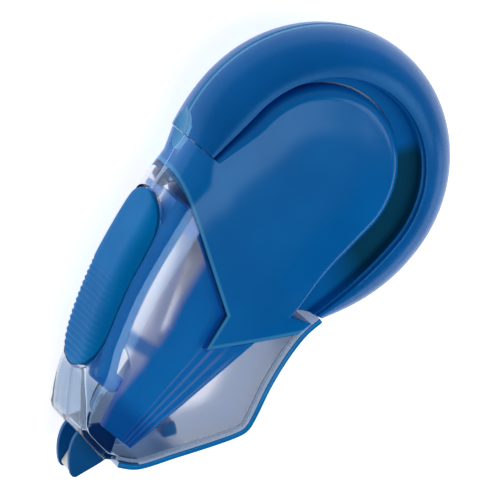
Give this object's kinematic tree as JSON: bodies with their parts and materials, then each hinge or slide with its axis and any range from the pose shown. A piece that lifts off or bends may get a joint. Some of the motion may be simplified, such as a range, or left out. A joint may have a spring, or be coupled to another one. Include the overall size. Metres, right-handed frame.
{
  "type": "correction tape roller",
  "caption": "Hand-held correction tape roller with a round head, clear side shells, a rubber grip on the spine and a drop-in tape refill.",
  "frame": {"origin": "centre of the bounding box's bottom, on the plane the roller lies on", "axes": "+X from the tape tip to the round head, +Y to the spine with the rubber grip, +Z normal of the front side face"},
  "size_m": [0.09, 0.0502, 0.017],
  "materials": {
    "ring_blue": "glossy translucent blue moulding",
    "clear_shell": "clear polished styrene",
    "band_blue": "gloss blue moulding",
    "grip_rubber": "matt soft rubber with fine ridges",
    "cartridge_blue": "satin translucent blue moulding",
    "tip_blue": "satin deep blue moulding",
    "spool_white": "satin white acetal",
    "tape_white": "matt white correction tape",
    "clutch_felt": "grey friction washer"
  },
  "bodies": {
    "housing": {"ring_half_rear": "ring_blue", "case_rear": "clear_shell", "edge_band": "band_blue", "grip_pad": "grip_rubber", "grip_rail": "band_blue", "snap_lug": "band_blue"},
    "cover": {"ring_half_front": "ring_blue", "case_front": "clear_shell"},
    "cartridge": {"cartridge_base": "cartridge_blue", "cartridge_cover": "cartridge_blue", "applicator_tip": "tip_blue", "feed_guide_pin": "spool_white", "return_guide_pin": "spool_white", "tape_run": "tape_white"},
    "supply": {"supply_spool": "spool_white", "supply_gear": "spool_white", "clutch_ring": "clutch_felt", "tape_roll": "tape_white"},
    "takeup": {"takeup_spool": "spool_white", "takeup_gear": "spool_white", "takeup_coil": "tape_white"}
  },
  "joints": [
    {"name": "cover_lift", "type": "slide", "parent": "housing", "child": "cover", "axis": [0, 0, 1], "range_m": [0, 0.04]},
    {"name": "cartridge_lift", "type": "slide", "parent": "housing", "child": "cartridge", "axis": [0, 0, 1], "range_m": [0, 0.02]},
    {"name": "supply_spin", "type": "hinge", "parent": "cartridge", "child": "supply", "pos_m": [0.0197, 0, 0.0085], "axis": [0, 0, 1], "continuous": true},
    {"name": "takeup_spin", "type": "hinge", "parent": "cartridge", "child": "takeup", "pos_m": [-0.00477, -0.0012, 0.0085], "axis": [0, 0, 1], "continuous": true}
  ],
  "couplings": [
    {"joint": "cartridge_lift", "follows": "cover_lift", "ratio": 0.5},
    {"joint": "takeup_spin", "follows": "supply_spin", "ratio": -2.8889}
  ]
}
